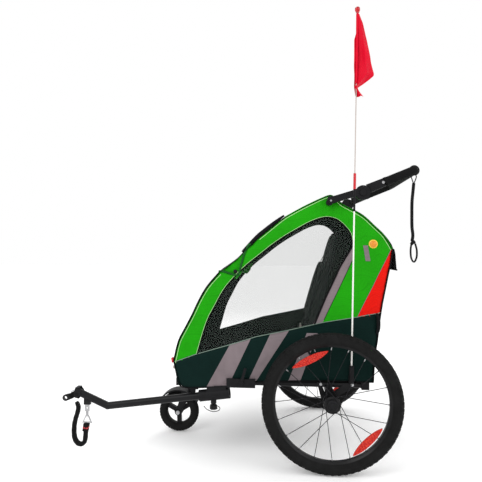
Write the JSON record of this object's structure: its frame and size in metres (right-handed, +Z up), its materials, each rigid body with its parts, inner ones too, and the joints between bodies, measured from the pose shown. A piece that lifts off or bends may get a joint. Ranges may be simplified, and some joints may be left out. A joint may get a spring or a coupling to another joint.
{
  "type": "child bicycle trailer",
  "caption": "Covered two-wheel child trailer with a folding tube frame, side windows, tow arm with hitch, swivelling front wheel, push handle and safety flag",
  "frame": {"origin": "centre of the footprint, on the ground", "axes": "+X to the rear, +Y to the right side, +Z up; the tow arm is on the left (-Y) and points along -X"},
  "size_m": [1.3861, 0.804, 1.697],
  "materials": {
    "black_tube": "satin black powder coat",
    "black_plastic": "fine grained black nylon",
    "black_bracket": "black powder coat on steel plate",
    "steel": "zinc plated",
    "seat_fabric": "black polyester",
    "webbing": "woven black strap",
    "dark_green_fabric": "dark green coated polyester",
    "green_fabric": "bright green coated polyester",
    "black_fabric": "black coated polyester",
    "grey_fabric": "warm grey coated polyester",
    "window": "clear flexible film",
    "foam": "closed cell foam grip",
    "wheel_black": "black rim, hub and spokes",
    "tyre": "black tyre",
    "reflector_red": "red prismatic reflector",
    "pole_white": "white glass fibre rod",
    "flag_red": "red moulded plastic",
    "pennant": "red nylon flag"
  },
  "bodies": {
    "root": {"side_rails": "black_tube", "cross_tubes": "black_tube", "axle_beam": "black_tube", "corner_blocks": "black_plastic", "floor_board": "black_plastic", "axle_brackets": "black_bracket", "stub_axles": "steel", "bracket_bolts": "steel", "seat_cushion": "seat_fabric", "seat_back": "seat_fabric", "harness": "webbing", "buckle": "black_plastic", "tub": "dark_green_fabric", "canopy_sides": "green_fabric", "canopy_roof": "green_fabric", "rear_panel": "black_fabric", "side_windows": "window", "canopy_stripes": "grey_fabric", "frame_locks": "black_plastic", "tow_socket": "black_plastic", "wheel_arm": "black_plastic", "flag_socket": "black_plastic"},
    "front_hoop": {"front_hoop": "black_tube", "front_hoop_feet": "black_plastic", "handle_base": "black_plastic", "knuckle_bolts": "steel"},
    "rear_hoop": {"rear_hoop": "black_tube", "rear_hoop_feet": "black_plastic"},
    "handlebar": {"handlebar": "black_tube", "handlebar_grip": "foam", "wrist_strap": "webbing"},
    "lock_levers": {"lock_levers": "black_plastic"},
    "tow_clamp_knob": {"tow_clamp_knob": "steel"},
    "tow_bar": {"tow_bar": "black_tube", "hitch_eye": "steel", "safety_strap": "webbing", "strap_ring": "steel", "snap_hook": "steel"},
    "hitch_latch": {"hitch_latch": "black_plastic"},
    "caster": {"caster_fork": "black_plastic", "front_axle": "steel"},
    "front_wheel": {"front_rim": "wheel_black", "front_tyre": "tyre"},
    "wheel_left": {"tyre_left": "tyre", "rim_left": "wheel_black", "spokes_left": "wheel_black", "hub_left": "wheel_black", "bearings_left": "steel", "reflectors_left": "reflector_red"},
    "wheel_right": {"tyre_right": "tyre", "rim_right": "wheel_black", "spokes_right": "wheel_black", "hub_right": "wheel_black", "bearings_right": "steel", "reflectors_right": "reflector_red"},
    "flag": {"flag_pole": "pole_white", "flag_ferrule": "flag_red", "flag_mast": "pole_white", "flag_pennant": "pennant", "flag_knob": "flag_red"}
  },
  "joints": [
    {"name": "frame_fold", "type": "hinge", "parent": "root", "child": "front_hoop", "pos_m": [-0.222, 0, 0.32], "axis": [0, 1, 0], "range_deg": [0, 40], "deforming": ["tub", "canopy_sides", "canopy_roof", "rear_panel", "side_windows", "canopy_stripes", "seat_back", "harness"]},
    {"name": "rear_hoop_fold", "type": "hinge", "parent": "root", "child": "rear_hoop", "pos_m": [0.474, 0, 0.32], "axis": [0, 1, 0], "range_deg": [-80, 0], "deforming": ["tub", "canopy_sides", "canopy_roof", "rear_panel", "side_windows", "canopy_stripes", "seat_back", "harness"]},
    {"name": "handlebar_tilt", "type": "hinge", "parent": "front_hoop", "child": "handlebar", "pos_m": [0.477, 0, 1.014], "axis": [0, 1, 0], "range_deg": [-90, 10]},
    {"name": "lock_lever_turn", "type": "hinge", "parent": "root", "child": "lock_levers", "pos_m": [0.016, 0, 0.298], "axis": [0, 1, 0], "range_deg": [0, 40]},
    {"name": "tow_clamp_turn", "type": "hinge", "parent": "root", "child": "tow_clamp_knob", "pos_m": [-0.09365, -0.272, 0.212], "axis": [0, 0, 1], "continuous": true},
    {"name": "tow_bar_slide", "type": "slide", "parent": "root", "child": "tow_bar", "axis": [-0.9911, 0, -0.1328], "range_m": [0, 0.09]},
    {"name": "hitch_latch_lift", "type": "hinge", "parent": "tow_bar", "child": "hitch_latch", "pos_m": [-0.628, -0.272, 0.237], "axis": [0, 1, 0], "range_deg": [0, 25]},
    {"name": "front_swivel", "type": "hinge", "parent": "root", "child": "caster", "pos_m": [-0.231, 0, 0.19], "axis": [0, 0, 1], "continuous": true},
    {"name": "front_wheel_spin", "type": "hinge", "parent": "caster", "child": "front_wheel", "pos_m": [-0.288, 0, 0.088], "axis": [0, 1, 0], "continuous": true},
    {"name": "wheel_left_spin", "type": "hinge", "parent": "root", "child": "wheel_left", "pos_m": [0.344, -0.37, 0.25], "axis": [0, 1, 0], "continuous": true},
    {"name": "wheel_right_spin", "type": "hinge", "parent": "root", "child": "wheel_right", "pos_m": [0.344, 0.37, 0.25], "axis": [0, 1, 0], "continuous": true},
    {"name": "flag_lift", "type": "slide", "parent": "root", "child": "flag", "axis": [0.0227, 0, 0.9997], "range_m": [0, 0.06]}
  ],
  "couplings": [
    {"joint": "rear_hoop_fold", "follows": "frame_fold", "ratio": -2}
  ]
}
